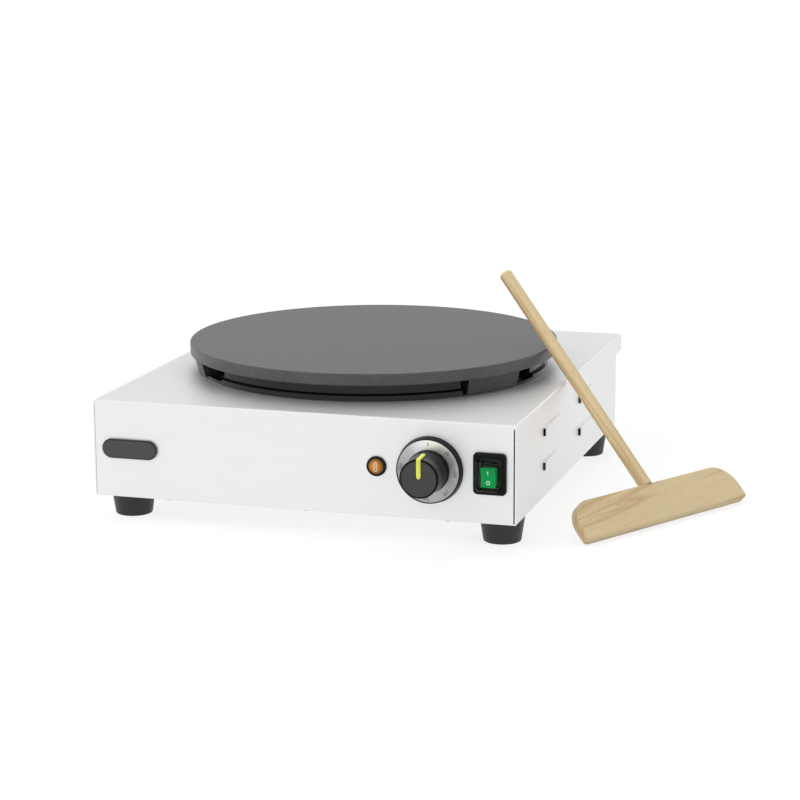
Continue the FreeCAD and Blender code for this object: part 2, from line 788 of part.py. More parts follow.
def wires():
    """Two insulated wires from the terminal block to the switch."""
    solids = []
    run_z = floor_z + 8
    for lane, dx in enumerate((-6, 6)):
        run_x = gland_x - 16 + 9 * lane
        tab_x = switch_x + dx
        tab_z = control_z - 8
        turn_y = front_y + 60 + 8 * lane
        points = [V(run_x, back_y - 70.2, run_z), V(run_x, turn_y, run_z), V(tab_x, turn_y - 8, run_z),
                  V(tab_x, front_y + 41, tab_z), V(tab_x, front_y + 34.2, tab_z)]
        solids.append(tube_along(points, 1.3, 3.0))
    return group(solids)


# wooden spreader

def blade_outline():
    """Wire of the board in its own plane: length along X, height along Z."""
    half = blade_length / 2
    s = blade_shoulder
    t = blade_toe
    h = blade_height
    c = math.sqrt(0.5)
    edges = [Part.LineSegment(V(-half + t, 0, 0), V(half - t, 0, 0)),
             Part.Arc(V(half - t, 0, 0), V(half - t + t * c, 0, t - t * c), V(half, 0, t)),
             Part.LineSegment(V(half, 0, t), V(half, 0, h - s)),
             Part.Arc(V(half, 0, h - s), V(half - s + s * c, 0, h - s + s * c), V(half - s, 0, h)),
             Part.LineSegment(V(half - s, 0, h), V(-half + s, 0, h)),
             Part.Arc(V(-half + s, 0, h), V(-half + s - s * c, 0, h - s + s * c), V(-half, 0, h - s)),
             Part.LineSegment(V(-half, 0, h - s), V(-half, 0, t)),
             Part.Arc(V(-half, 0, t), V(-half + t - t * c, 0, t - t * c), V(-half + t, 0, 0))]
    return Part.Wire([e.toShape() for e in edges])


def place_spreader(shape):
    """Lean it towards the plate: tilt about its length, then turn and set down."""
    tilt = math.radians(spreader_tilt)
    neck_z = blade_height * math.cos(tilt) + blade_thickness / 2 * math.sin(tilt)
    turn = FreeCAD.Rotation(Z_AXIS, spreader_yaw).multiply(FreeCAD.Rotation(X_AXIS, -spreader_tilt))
    neck = V(spreader_neck[0], spreader_neck[1], neck_z)
    start = turn.multVec(V(0, 0, blade_height))
    shape.Placement = FreeCAD.Placement(neck - start, turn)
    return shape


def spreader_blade():
    board = Part.Face(blade_outline()).extrude(V(0, blade_thickness, 0))
    board.translate(V(0, -blade_thickness / 2, 0))
    board = positive(board)
    rims = [e for e in board.Edges if e.BoundBox.YLength < 0.01]
    board = board.makeFillet(1.5, rims)
    socket = upright(handle_radius * 0.66, 0, 0, blade_height - handle_tenon, blade_height + 1)
    return place_spreader(board.cut(socket))


def spreader_handle():
    dowel = upright(handle_radius, 0, 0, blade_height + 0.02, blade_height + handle_length)
    tip = [e for e in dowel.Edges if e.BoundBox.ZMin > blade_height + handle_length - 0.01]
    dowel = dowel.makeFillet(3.0, tip)
    tenon = upright(handle_radius * 0.66, 0, 0, blade_height - handle_tenon, blade_height + 1)
    return place_spreader(dowel.fuse(tenon))


def all_pieces():
    pieces = {
        "housing_cover": housing_cover(), "base_plate": base_plate(), "base_screws": base_screws(),
        "rear_panel": rear_panel(), "rear_screws": rear_screws(),
        "foot_screws": foot_screws(), "foot_nuts": foot_nuts(),
        "griddle_plate": griddle_plate(), "plate_studs": plate_studs(), "stud_nuts": stud_nuts(),
        "element_pan": element_pan(), "insulation_disc": insulation_disc(),
        "element_clamp": element_clamp(), "sensing_bulb": sensing_bulb(), "bulb_clip": bulb_clip(),
        "capillary_tube": capillary_tube(),
        "dial_bezel": dial_bezel(), "dial_face": dial_face(), "control_knob": control_knob(),
        "knob_pointer": knob_pointer(), "thermostat_shaft": thermostat_shaft(),
        "thermostat_body": thermostat_body(), "thermostat_screws": thermostat_screws(),
        "lamp_bezel": lamp_bezel(), "lamp_lens": lamp_lens(), "lamp_body": lamp_body(), "lamp_nut": lamp_nut(),
        "switch_frame": switch_frame(), "switch_hood": switch_hood(), "switch_rocker": switch_rocker(),
        "switch_body": switch_body(), "switch_terminals": switch_terminals(), "nameplate": nameplate(),
        "cable_gland": cable_gland(), "gland_cap": gland_cap(), "gland_nut": gland_nut(),
        "bonding_stud": bonding_stud(), "bonding_nuts": bonding_nuts(), "terminal_block": terminal_block(),
        "safety_cutout": safety_cutout(), "heat_baffle": heat_baffle(), "wires": wires(),
        "spreader_blade": spreader_blade(), "spreader_handle": spreader_handle(),
    }
    for name, radius in zip(("outer_heater", "inner_heater"), element_circles):
        pieces[name] = heating_element(radius)
    corners = ("foot_front_left", "foot_rear_left", "foot_front_right", "foot_rear_right")
    for name, (x, y) in zip(corners, foot_places()):
        pieces[name] = foot(x, y)
    return pieces


def main():
    pieces = all_pieces()
    whole = FreeCAD.BoundBox()
    for shape in pieces.values():
        whole.add(shape.optimalBoundingBox())
    shift = V(-round(whole.Center.x, 1), -round(whole.Center.y, 1), 0)
    os.makedirs("parts", exist_ok=True)
    for name, shape in sorted(pieces.items()):
        shape.translate(shift)
        shape.exportStep("parts/%s.step" % name)
        solids = len(shape.Solids)
        print("%-20s solids %2d valid %s volume %.1f" % (name, solids, shape.isValid(), shape.Volume))
    print("shift", shift, "box", whole)


main()
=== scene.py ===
"""Electric crepe maker: finishes, printed marks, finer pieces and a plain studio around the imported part."""

import json
import math

import bmesh
import bpy
from bpy.props import FloatProperty, FloatVectorProperty, IntProperty, PointerProperty
from mathutils import Matrix, Vector


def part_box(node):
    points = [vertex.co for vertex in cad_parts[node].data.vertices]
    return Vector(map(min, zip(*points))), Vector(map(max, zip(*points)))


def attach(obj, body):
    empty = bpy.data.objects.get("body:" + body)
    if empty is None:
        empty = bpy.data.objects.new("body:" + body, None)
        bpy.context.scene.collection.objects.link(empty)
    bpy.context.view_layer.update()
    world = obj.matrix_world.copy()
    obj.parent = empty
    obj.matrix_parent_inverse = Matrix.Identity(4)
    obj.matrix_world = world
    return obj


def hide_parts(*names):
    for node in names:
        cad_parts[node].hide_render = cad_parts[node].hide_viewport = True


bl_info = {
    "name": "Crepe Maker",
    "version": (1, 0, 0),
    "blender": (4, 5, 0),
    "location": "3D View > Sidebar > Crepe Maker",
    "description": "Dresses the packed crepe maker and sets up its studio",
    "category": "Object",
}

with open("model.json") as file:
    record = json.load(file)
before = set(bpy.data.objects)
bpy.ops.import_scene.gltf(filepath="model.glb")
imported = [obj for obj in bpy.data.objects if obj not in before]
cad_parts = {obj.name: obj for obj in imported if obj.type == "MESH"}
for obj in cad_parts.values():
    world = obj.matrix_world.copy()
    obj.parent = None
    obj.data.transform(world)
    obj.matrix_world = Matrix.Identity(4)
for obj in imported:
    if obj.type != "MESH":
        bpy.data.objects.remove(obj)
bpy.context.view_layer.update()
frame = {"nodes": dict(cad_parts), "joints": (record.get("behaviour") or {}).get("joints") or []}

MM = 0.001
WELD_DISTANCE = 1e-7
NUMERAL_SHARE = 0.7
# Painted shade on the badge's bevelled edge.
PAINTED_EDGE_SHADE = (0.012, 0.012, 0.013)


def middle_of(node):
    """Centre of a node's box."""
    low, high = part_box(node)
    return (low + high) / 2


DIAL_CENTRE = middle_of("dial_face")
KNOB_LOW, KNOB_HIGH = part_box("control_knob")
LENS_LOW, LENS_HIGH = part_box("lamp_lens")
PLATE_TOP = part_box("griddle_plate")[1].z


def colour(name, default, description):
    return FloatVectorProperty(name=name, default=default, description=description, subtype="COLOR",
                               size=3, min=0.0, max=1.0)


def length(name, default, description):
    return FloatProperty(name=name, default=default, description=description, subtype="DISTANCE",
                         unit="LENGTH")


def angle(name, degrees, description):
    return FloatProperty(name=name, default=math.radians(degrees), description=description,
                         subtype="ANGLE", unit="ROTATION")


def factor(name, default, description):
    return FloatProperty(name=name, default=default, description=description, subtype="FACTOR",
                         min=0.0, max=1.0)


def plain(name, default, description):
    return FloatProperty(name=name, default=default, description=description)


class HousingSettings(bpy.types.PropertyGroup):
    """Brushed stainless sheet of the housing."""
    steel: colour("Steel", (0.865, 0.865, 0.87), "Colour of the brushed sheet")
    roughness: factor("Roughness", 0.42, "How far the sheet blurs what it mirrors")
    brush_length: length("Brush Length", 0.12, "Length of a brushing streak")
    brush_width: length("Brush Width", 0.0005, "Width of a brushing streak")
    badge: colour("Badge", (0.055, 0.055, 0.057), "Colour of the bare badge")
    rubber: colour("Rubber", (0.012, 0.012, 0.013), "Colour of the feet")


class PlateSettings(bpy.types.PropertyGroup):
    """Cast plate and the enamelled pan under it."""
    iron: colour("Iron", (0.055, 0.057, 0.062), "Colour of the seasoned plate")
    iron_roughness: factor("Iron Roughness", 0.42, "Roughness of the cooking face")
    enamel: colour("Enamel", (0.006, 0.006, 0.007), "Colour of the pan")
    # The underside and lugs below this height are painted darker as shade.
    rim_height: length("Rim Height", 0.0112, "Height of the rim above the darker underside and lugs")


class ControlSettings(bpy.types.PropertyGroup):
    """Dial, knob, lamp and switch on the front panel."""
    plastic: colour("Black Plastic", (0.014, 0.014, 0.015), "Colour of trays and frames")
    knob: colour("Knob", (0.045, 0.045, 0.047), "Colour of the knob's face")
    pointer: colour("Pointer", (0.78, 0.84, 0.10), "Colour of the pointer line")
    scale_metal: colour("Scale Ring", (0.70, 0.70, 0.70), "Colour of the satin scale ring")
    amber: colour("Lamp Lens", (0.80, 0.30, 0.02), "Colour of the lamp lens")
    green: colour("Rocker", (0.0, 0.30, 0.09), "Colour of the rocker")
    mark_count: IntProperty(name="Numbers on the Scale", default=7, min=2, max=12,
                            description="How many numbered steps the scale has")
    mark_step: angle("Step", 46.0, "Angle from one number to the next")
    tick_length: length("Tick Length", 0.0032, "Length of a tick")
    tick_width: length("Tick Width", 0.0006, "Width of a tick")
    numeral_height: length("Numeral Height", 0.0028, "Height of the numbers")
    numeral_radius: length("Numeral Radius", 0.0243, "Distance of the numbers from the knob's axis")


class SpreaderSettings(bpy.types.PropertyGroup):
    """Wooden batter spreader."""
    pale: colour("Pale Wood", (0.80, 0.64, 0.37), "Colour between the growth rings")
    ring: colour("Growth Ring", (0.60, 0.41, 0.20), "Colour of the growth rings")
    fleck: colour("Fleck", (0.40, 0.22, 0.09), "Colour of the short flecks")


class StageSettings(bpy.types.PropertyGroup):
    """Camera, lamps and floor of the studio."""
    lens: plain("Lens", 107.49, "Focal length in millimetres on a 36 mm sensor")
    place: FloatVectorProperty(name="Camera Place", default=(0.60204, -2.11999, 0.57108),
                               subtype="TRANSLATION", unit="LENGTH", description="Where the camera stands")
    azimuth: angle("Azimuth", 17.07, "Turn of the camera about the object")
    elevation: angle("Elevation", 12.42, "Height of the camera as an angle")
    roll: angle("Roll", -0.32, "Turn of the picture")
    floor_size: length("Floor Size", 80.0, "Side of the floor")
    ambient: plain("Ambient", 0.46, "Brightness of the surroundings on matt surfaces")
    key: plain("Key Lamp", 38.0, "Power of the large lamp at the upper left")
    fill: plain("Fill Lamp", 6.0, "Power of the lamp at the right")
    top: plain("Top Lamp", 21.0, "Power of the lamp above")
    rear: plain("Rear Lamp", 2.5, "Power of the lamp behind on the right")
    flag: factor("Flag", 0.78, "Brightness of the screen behind, as polished surfaces mirror it")


class CrepeMakerSettings(bpy.types.PropertyGroup):
    """All settings of the crepe maker."""
    housing: PointerProperty(type=HousingSettings, name="Housing", description="Housing finish")
    plate: PointerProperty(type=PlateSettings, name="Plate", description="Plate and pan finish")
    controls: PointerProperty(type=ControlSettings, name="Controls", description="Dial, lamp and switch")
    spreader: PointerProperty(type=SpreaderSettings, name="Spreader", description="Wood of the spreader")
    stage: PointerProperty(type=StageSettings, name="Stage", description="Camera, lamps and floor")


# Materials

class Nodes:
    """A node tree, built node by node."""

    def __init__(self, tree):
        self.tree = tree

    def set(self, target, value):
        """Gives an input a value, or links it to an output."""
        if isinstance(value, bpy.types.NodeSocket):
            self.tree.links.new(value, target)
        else:
            target.default_value = value

    def node(self, kind, operation=None, **inputs):
        node = self.tree.nodes.new(kind)
        if operation:
            node.operation = operation
        for label, value in inputs.items():
            self.set(node.inputs[label.replace("_", " ")], value)
        return node

    def maths(self, operation, *values):
        node = self.node("ShaderNodeMath", operation)
        for target, value in zip(node.inputs, values):
            self.set(target, value)
        return node.outputs["Value"]


class Finish(Nodes):
    """A material with one shader."""

    def __init__(self, name, base, **sockets):
        self.material = bpy.data.materials.new(name)
        self.material.use_nodes = True
        super().__init__(self.material.node_tree)
        self.shader = self.tree.nodes["Principled BSDF"]
        self.feed("Base Color", (*base, 1))
        for socket, value in sockets.items():
            self.feed(socket.replace("_", " "), value)
        self.coordinates = self.node("ShaderNodeTexCoord").outputs["Object"]

    def placed(self, scale=(1, 1, 1), centre=(0, 0, 0), along=None):
        """Object coordinates about a centre, turned so that X runs along a direction, then scaled."""
        turn = (0, 0, 0) if along is None else along.to_track_quat("X", "Z").inverted().to_euler()
        vector = self.coordinates
        for socket, value in (("Location", [-c for c in centre]), ("Rotation", turn), ("Scale", scale)):
            vector = self.node("ShaderNodeMapping", Vector=vector, **{socket: value}).outputs["Vector"]
        return vector

    def noise(self, scale, vector=None, detail=2.0, distortion=0.0):
        node = self.node("ShaderNodeTexNoise", Scale=scale, Detail=detail, Distortion=distortion,
                         Vector=vector or self.coordinates)
        return node.outputs["Fac"]

    def ramp(self, value, stops):
        """Colour from a value; a stop is (position, colour or grey)."""
        node = self.node("ShaderNodeValToRGB", Fac=value)
        ramp = node.color_ramp
        while len(ramp.elements) < len(stops):
            ramp.elements.new(0.5)
        for element, (position, shade) in zip(ramp.elements, stops):
            element.position = position
            element.color = (*shade, 1) if hasattr(shade, "__len__") else (shade, shade, shade, 1)
        return node.outputs["Color"]

    def blend(self, value, a, b, mode="MIX"):
        """Mixes two colours; the mix node's factor and colours are its inputs 0, 6 and 7."""
        node = self.node("ShaderNodeMix")
        node.data_type = "RGBA"
        node.blend_type = mode
        for source, slot in ((value, 0), (a, 6), (b, 7)):
            plain_colour = slot and not isinstance(source, bpy.types.NodeSocket)
            self.set(node.inputs[slot], (*source, 1) if plain_colour else source)
        return node.outputs[2]

    def apart(self, vector):
        return self.node("ShaderNodeSeparateXYZ", Vector=vector).outputs

    def reach(self, a, b):
        """Distance from an axis, from the two coordinates across it."""
        squares = [self.maths("MULTIPLY", value, value) for value in (a, b)]
        return self.maths("SQRT", self.maths("ADD", *squares))

    def bump(self, height, strength, distance):
        node = self.node("ShaderNodeBump", Strength=strength, Distance=distance, Height=height)
        return self.feed("Normal", node.outputs["Normal"])

    def feed(self, socket, value):
        self.set(self.shader.inputs[socket], value)
        return self


def tint(base, share):
    """Lighter or darker colour, never above 1."""
    return tuple(min(1.0, c * share) for c in base)


def brushed_steel(settings):
    """Sheet brushed along X: fine lines, wider bands and a slightly uneven gloss."""
    steel = settings.steel
    band_scale = (3.0, 240.0, 240.0)
    unevenness = 0.05
    finish = Finish("brushed_steel", steel, Metallic=0.80)
    across = 1 / settings.brush_width
    streaks = finish.placed((1 / settings.brush_length, across, across))
    lines = finish.noise(1.0, streaks, detail=3.0)
    clouds = finish.noise(7.0, detail=3.0)
    bands = finish.noise(1.0, finish.placed(band_scale), detail=2.0)
    finish.feed("Base Color", finish.blend(
        finish.maths("MULTIPLY", bands, 0.35),
        finish.ramp(lines, [(0.30, tint(steel, 0.975)), (0.70, tint(steel, 1.015))]), tint(steel, 0.97)))
    rough = finish.maths("MULTIPLY_ADD", clouds, unevenness, settings.roughness - unevenness / 2)
    rough = finish.maths("MULTIPLY_ADD", lines, unevenness, rough)
    finish.feed("Roughness", rough)
    return finish.bump(lines, 0.10, 0.00004).material


def cast_iron(settings):
    """Seasoned cooking face and rim, with painted shade darkening the underside and lugs below the rim."""
    iron = settings.iron
    finish = Finish("seasoned_iron", iron, Specular_IOR_Level=0.62)
    grain = finish.noise(620.0, detail=3.0)
    patches = finish.noise(16.0, detail=5.0, distortion=0.6)
    specks = finish.noise(210.0, detail=2.0)
    face = finish.blend(
        finish.ramp(specks, [(0.42, 0.0), (0.66, 0.30)]),
        finish.ramp(patches, [(0.30, tint(iron, 0.80)), (0.70, tint(iron, 1.18))]), tint(iron, 1.5))
    height = finish.apart(finish.placed(centre=(0, 0, PLATE_TOP)))["Z"]
    # Painted shade: below the rim the colour drops to a third of the iron's.
    under = finish.maths("LESS_THAN", height, -settings.rim_height)
    finish.feed("Base Color", finish.blend(under, face, tint(iron, 0.30)))
    rough = finish.maths("MULTIPLY_ADD", grain, 0.10, settings.iron_roughness - 0.11)
    finish.feed("Roughness", finish.maths("MULTIPLY_ADD", patches, 0.12, rough))
    return finish.bump(grain, 0.35, 0.00012).material


def black_enamel(settings):
    """Glossy black with a slight ripple and pale dust."""
    finish = Finish("black_enamel", settings.enamel, Specular_IOR_Level=0.35)
    ripple = finish.noise(85.0, detail=2.0)
    dust = finish.noise(900.0, detail=1.0)
    pale = tint(settings.enamel, 4.0)
    finish.feed("Base Color", finish.ramp(dust, [(0.60, settings.enamel), (0.80, pale)]))
    finish.feed("Roughness", finish.ramp(ripple, [(0.3, 0.14), (0.7, 0.26)]))
    return finish.bump(ripple, 0.30, 0.0003).material


def moulded(name, base, roughness, grain=700.0, depth=0.00003, **sockets):
    """Moulded plastic, rubber or ceramic: fine grain and slightly uneven gloss."""
    finish = Finish(name, base, **sockets)
    fine = finish.noise(grain, detail=2.0)
    uneven = finish.noise(45.0, detail=2.0)
    finish.feed("Base Color", finish.ramp(uneven, [(0.25, tint(base, 0.86)), (0.75, tint(base, 1.14))]))
    rough = min(1.0, roughness * 1.15)
    finish.feed("Roughness", finish.ramp(fine, [(0.25, roughness * 0.85), (0.75, rough)]))
    return finish.bump(fine, 0.4, depth).material


def plated(name, base, roughness, **sockets):
    """Plated or drawn metal with a faint mottle."""
    finish = Finish(name, base, Metallic=1.0, **sockets)
    mottle = finish.noise(330.0, detail=3.0)
    finish.feed("Base Color", finish.ramp(mottle, [(0.25, tint(base, 0.84)), (0.75, tint(base, 1.10))]))
    finish.feed("Roughness", finish.ramp(mottle, [(0.25, roughness * 0.8), (0.75, roughness * 1.3)]))
    return finish.bump(mottle, 0.15, 0.00003).material


def badge_plate(settings):
    """Satin face with its bevelled edge painted near black as shade."""
    low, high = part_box("nameplate")
    finish = Finish("badge_plate", settings.badge, Specular_IOR_Level=0.4)
    half_height = (high.z - low.z) / 2
    straight = (high.x - low.x) / 2 - half_height
    bevel = 1.1 * MM
    x, _, z = finish.apart(finish.placed(centre=(low + high) / 2))
    past = finish.maths("MAXIMUM", finish.maths("SUBTRACT", finish.maths("ABSOLUTE", x), straight), 0.0)
    face = finish.maths("LESS_THAN", finish.reach(past, z), half_height - bevel)
    grain = finish.noise(1300.0, detail=2.0)
    satin = finish.ramp(grain, [(0.25, tint(settings.badge, 0.92)), (0.75, tint(settings.badge, 1.08))])
    # Painted shade: the bevel round the face takes a near-black colour instead of the badge's own.
    finish.feed("Base Color", finish.blend(face, PAINTED_EDGE_SHADE, satin))
    finish.feed("Roughness", finish.ramp(grain, [(0.3, 0.34), (0.7, 0.44)]))
    return finish.bump(grain, 0.3, 0.00003).material


def knob_plastic(settings):
    """Matt on the round face, glossy on the rim and the cone."""
    matt_radius, matt_depth = 15.7 * MM, 2.2 * MM
    face_mirror, cone_mirror = 0.40, 0.06
    finish = Finish("knob_plastic", settings.knob)
    x, y, z = finish.apart(finish.placed(centre=(DIAL_CENTRE.x, KNOB_LOW.y, DIAL_CENTRE.z)))
    inside = finish.maths("LESS_THAN", finish.reach(x, z), matt_radius)
    front = finish.maths("LESS_THAN", y, matt_depth)
    face = finish.maths("MULTIPLY", inside, front)
    grain = finish.noise(1400.0, detail=1.0)
    finish.feed("Base Color", finish.blend(face, tint(settings.knob, 0.12), settings.knob))
    matt = finish.ramp(grain, [(0.3, 0.50), (0.7, 0.62)])
    gloss = finish.ramp(grain, [(0.3, 0.12), (0.7, 0.17)])
    finish.feed("Roughness", finish.blend(face, gloss, matt))
    mirror = finish.maths("MULTIPLY_ADD", face, face_mirror - cone_mirror, cone_mirror)
    finish.feed("Specular IOR Level", mirror)
    return finish.bump(finish.maths("MULTIPLY", grain, face), 0.25, 0.00004).material


def satin_ring(settings):
    """Spun metal: fine rings about the knob's axis, with a painted reflection whose highlight lies a little
    right of the top (radians).
    """
    painted_highlight_turn = 0.20
    groove_scale = 4200.0
    finish = Finish("satin_ring", settings.scale_metal, Metallic=1.0, Anisotropic=0.85, Roughness=0.32)
    place = finish.placed(centre=DIAL_CENTRE)
    cross = finish.node("ShaderNodeVectorMath", "CROSS_PRODUCT")
    finish.set(cross.inputs[0], place)
    finish.set(cross.inputs[1], (0, 1, 0))
    finish.feed("Tangent", cross.outputs["Vector"])
    x, _, z = finish.apart(place)
    # Painted reflection: the ring's colour is lightened and darkened by its turn about the knob's axis,
    # lightest at the painted highlight.
    turn = finish.maths("SUBTRACT", finish.maths("ARCTAN2", x, z), painted_highlight_turn)
    rays = finish.maths("MULTIPLY_ADD", finish.maths("COSINE", turn), 0.5, 0.5)
    rings = finish.node("ShaderNodeTexNoise", Scale=groove_scale)
    rings.noise_dimensions = "1D"
    finish.set(rings.inputs["W"], finish.reach(x, z))
    # Shares of the painted reflection, from its darkest turn to its painted highlight.
    shares = ((0.0, 0.62), (0.40, 0.50), (0.80, 0.75), (1.0, 1.42))
    shade = finish.ramp(rays, [(stop, tint(settings.scale_metal, share)) for stop, share in shares])
    lined = finish.ramp(rings.outputs["Fac"], [(0.3, 0.88), (0.7, 1.0)])
    finish.feed("Base Color", finish.blend(1.0, shade, lined, "MULTIPLY"))
    return finish.bump(rings.outputs["Fac"], 0.08, 0.00002).material


def amber_lens(settings):
    """Ribbed lens whose colour is painted darker towards its rim as shade."""
    rim = 7.5 * MM
    finish = Finish("amber_lens", settings.amber, Coat_Weight=0.35, Coat_Roughness=0.03, Roughness=0.30,
                    Specular_IOR_Level=0.2)
    cells = finish.node("ShaderNodeTexVoronoi", Scale=900.0, Vector=finish.coordinates)
    x, _, z = finish.apart(finish.placed(centre=middle_of("lamp_lens")))
    # Painted shade: the colour darkens from the middle of the lens to near black at its rim.
    edge = finish.maths("MULTIPLY", finish.reach(x, z), 1 / rim)
    shares = ((0.25, 1.0), (0.70, 0.50), (0.95, 0.08))
    shade = finish.ramp(edge, [(stop, tint(settings.amber, share)) for stop, share in shares])
    finish.feed("Base Color", shade)
    return finish.bump(cells.outputs["Distance"], 0.25, 0.00008).material


def clear_hood():
    """Soft clear plastic with a faint haze."""
    finish = Finish("clear_hood", (0.80, 0.97, 0.84), Transmission_Weight=1.0, IOR=1.16)
    haze = finish.noise(260.0, detail=2.0)
    finish.feed("Roughness", finish.ramp(haze, [(0.3, 0.0), (0.7, 0.02)]))
    return finish.bump(haze, 0.05, 0.00003).material


def wood(name, settings, centre, along, across):
    """Pale close-grained wood: growth rings, fine fibres and short flecks along one direction."""
    pale = settings.pale
    finish = Finish(name, pale, Coat_Weight=0.12, Coat_Roughness=0.35)
    slow = finish.placed((3.2, 95.0, across), centre, along)
    rings = finish.noise(1.0, slow, detail=3.0, distortion=0.35)
    fibres = finish.noise(1.0, finish.placed((38.0, 1500.0, 1500.0), centre, along), detail=2.0)
    flecks = finish.noise(1.0, finish.placed((170.0, 900.0, 1500.0), centre, along), detail=1.0)
    broad = finish.noise(11.0, detail=2.0)
    shade = finish.ramp(rings, [(0.32, pale), (0.50, tint(pale, 0.93)), (0.58, settings.ring),
                                (0.66, tint(pale, 1.04))])
    shade = finish.blend(finish.ramp(fibres, [(0.35, 0.0), (0.75, 0.35)]), shade, settings.ring)
    shade = finish.blend(finish.ramp(flecks, [(0.64, 0.0), (0.74, 0.45)]), shade, settings.fleck)
    shade = finish.blend(finish.ramp(broad, [(0.3, 0.0), (0.8, 0.22)]), shade, tint(pale, 0.8))
    finish.feed("Base Color", shade)
    finish.feed("Roughness", finish.ramp(fibres, [(0.3, 0.42), (0.7, 0.60)]))
    return finish.bump(fibres, 0.25, 0.00006).material


def dress(material, *names):
    """Gives CAD nodes a material."""
    for name in names:
        mesh = frame["nodes"][name].data
        mesh.materials.clear()
        mesh.materials.append(material)


# Meshes

def linked(name, data):
    """New object in the scene."""
    thing = bpy.data.objects.new(name, data)
    bpy.context.scene.collection.objects.link(thing)
    return thing


def piece(name, mesh, material, body, replaces=(), smooth=35.0):
    """Links a mesh as a piece that rides on a body; edges sharper than smooth degrees stay hard."""
    mesh.name = name
    mesh.materials.clear()
    mesh.materials.append(material)
    mesh.polygons.foreach_set("use_smooth", [True] * len(mesh.polygons))
    mesh.set_sharp_from_angle(angle=math.radians(smooth))
    thing = linked(name, mesh)
    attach(thing, body)
    if replaces:
        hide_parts(*replaces)


def lofted(rows):
    """Closed body through rows of points, with flat ends."""
    shape = bmesh.new()
    rings = [[shape.verts.new(point) for point in row] for row in rows]
    for a, b in zip(rings, rings[1:]):
        for i in range(len(a)):
            j = (i + 1) % len(a)
            shape.faces.new((a[i], a[j], b[j], b[i]))
    shape.faces.new(rings[0])
    shape.faces.new(list(reversed(rings[-1])))
    bmesh.ops.recalc_face_normals(shape, faces=shape.faces)
    return mesh_of(shape)


def turned_mesh(profile, centre, segments=192):
    """Closed body turned about -Y through a centre, from (radius, height) points."""
    shape = bmesh.new()
    rings = []
    for radius, height in profile:
        ring = []
        for step in range(segments if radius > 0 else 1):
            a = 2 * math.pi * step / segments
            offset = Vector((radius * math.cos(a), -height, radius * math.sin(a)))
            ring.append(shape.verts.new(centre + offset))
        rings.append(ring)
    for lower, upper in zip(rings, rings[1:]):
        for step in range(segments):
            after = (step + 1) % segments
            corners = [lower[step % len(lower)], lower[after % len(lower)],
                       upper[after % len(upper)], upper[step % len(upper)]]
            unique = list(dict.fromkeys(corners))
            if len(unique) > 2:
                shape.faces.new(unique)
    bmesh.ops.recalc_face_normals(shape, faces=shape.faces)
    return mesh_of(shape)


def arc(centre, radius, start, end, steps):
    """Points of an arc in a profile, angles in degrees."""
    angles = [math.radians(start + (end - start) * i / steps) for i in range(steps + 1)]
    return [(centre[0] + radius * math.cos(a), centre[1] + radius * math.sin(a)) for a in angles]


def plain_mesh(source):
    """Evaluated copy of an object's mesh; the object is removed."""
    depsgraph = bpy.context.evaluated_depsgraph_get()
    mesh = bpy.data.meshes.new_from_object(source.evaluated_get(depsgraph), depsgraph=depsgraph)
    bpy.data.objects.remove(source)
    return mesh


def mesh_of(shape, name="shape"):
    """New mesh from a bmesh, which is freed."""
    mesh = bpy.data.meshes.new(name)
    shape.to_mesh(mesh)
    shape.free()
    return mesh


def merged(meshes):
    shape = bmesh.new()
    for mesh in meshes:
        shape.from_mesh(mesh)
    return mesh_of(shape)


def welded(mesh, outwards=True):
    """Joins the edges that lie on each other, and turns the normals outwards."""
    shape = bmesh.new()
    shape.from_mesh(mesh)
    bmesh.ops.remove_doubles(shape, verts=shape.verts, dist=WELD_DISTANCE)
    if outwards:
        bmesh.ops.recalc_face_normals(shape, faces=shape.faces)
    return mesh_of(shape)


def extruded(outline_sets, depth):
    """Flat shape from closed outlines, holes included, with a thickness either side of z = 0."""
    curve = bpy.data.curves.new("outline", "CURVE")
    curve.dimensions = "2D"
    curve.fill_mode = "BOTH"
    curve.extrude = depth
    for outline in outline_sets:
        spline = curve.splines.new("POLY")
        spline.points.add(len(outline) - 1)
        for point, (x, y) in zip(spline.points, outline):
            point.co = (x, y, 0, 1)
        spline.use_cyclic_u = True
    return welded(plain_mesh(linked("outline", curve)))


def lettering(text, height, depth):
    """Raised text centred on the origin."""
    curve = bpy.data.curves.new("lettering", "FONT")
    curve.body = text
    curve.size = height / NUMERAL_SHARE
    curve.extrude = depth
    curve.align_x = "CENTER"
    curve.align_y = "CENTER"
    curve.resolution_u = 3
    return welded(plain_mesh(linked("lettering", curve)), outwards=False)


FACING_FRONT = Matrix.Rotation(math.radians(90), 4, "X")


def on_dial(turn, radius, y):
    """Matrix from a flat mark in XY to its place on the scale, its top outwards."""
    centre = Vector((DIAL_CENTRE.x, y, DIAL_CENTRE.z))
    outwards = Matrix.Translation((0, 0, radius))
    return Matrix.Translation(centre) @ Matrix.Rotation(turn, 4, "Y") @ outwards @ FACING_FRONT


# Geometry node trees

